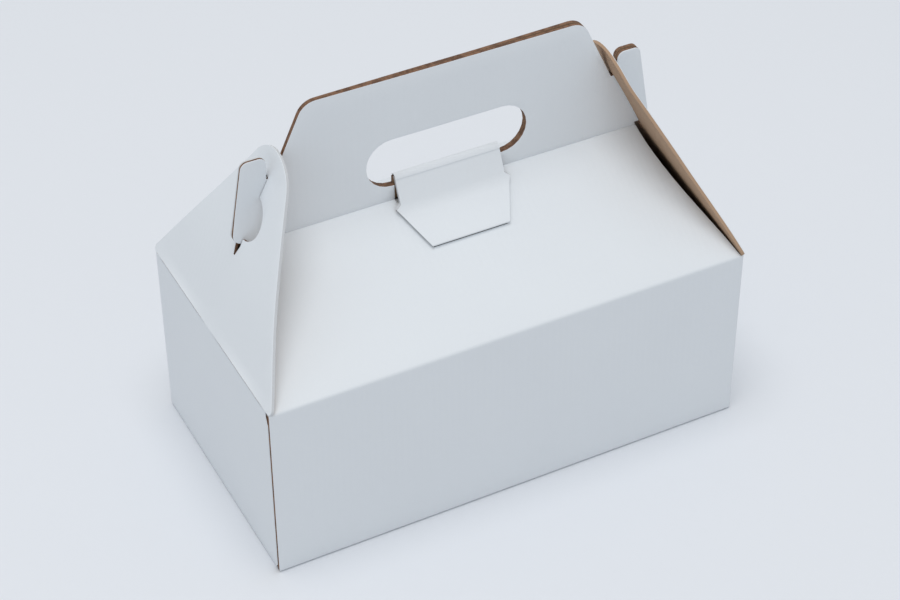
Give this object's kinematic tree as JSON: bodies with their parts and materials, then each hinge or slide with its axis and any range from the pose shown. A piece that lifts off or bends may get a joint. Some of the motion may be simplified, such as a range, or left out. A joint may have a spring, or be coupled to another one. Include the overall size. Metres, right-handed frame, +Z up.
{
  "type": "gable box",
  "caption": "Carry box of white-faced corrugated board with a gable roof, a handle with a hand hole, hooked end flaps and a locking tongue.",
  "frame": {"origin": "centre of the underside, on the plane the box stands on", "axes": "+X along the box and its handle to the right end, +Y to the back wall, +Z up"},
  "size_m": [0.24, 0.13, 0.2014],
  "materials": {
    "white_board": "matt white liner outside, brown kraft liner inside and at the cut edges"
  },
  "bodies": {
    "box": {"carton": "white_board", "right_front_hook": "white_board", "right_back_hook": "white_board", "left_front_hook": "white_board", "left_back_hook": "white_board"},
    "right_flap": {"right_end_flap": "white_board"},
    "left_flap": {"left_end_flap": "white_board"},
    "tongue": {"locking_tongue": "white_board"}
  },
  "joints": [
    {"name": "right_flap_fold", "type": "hinge", "parent": "box", "child": "right_flap", "pos_m": [0.12, 0, 0.095], "axis": [0, 1, 0], "range_deg": [0, 195], "deforming": ["right_front_hook", "right_back_hook"]},
    {"name": "left_flap_fold", "type": "hinge", "parent": "box", "child": "left_flap", "pos_m": [-0.12, 0, 0.095], "axis": [0, -1, 0], "range_deg": [0, 195], "deforming": ["left_front_hook", "left_back_hook"]},
    {"name": "tongue_fold", "type": "hinge", "parent": "box", "child": "tongue", "pos_m": [0, 0, 0.14814], "axis": [-1, 0, 0], "range_deg": [0, 110]}
  ]
}
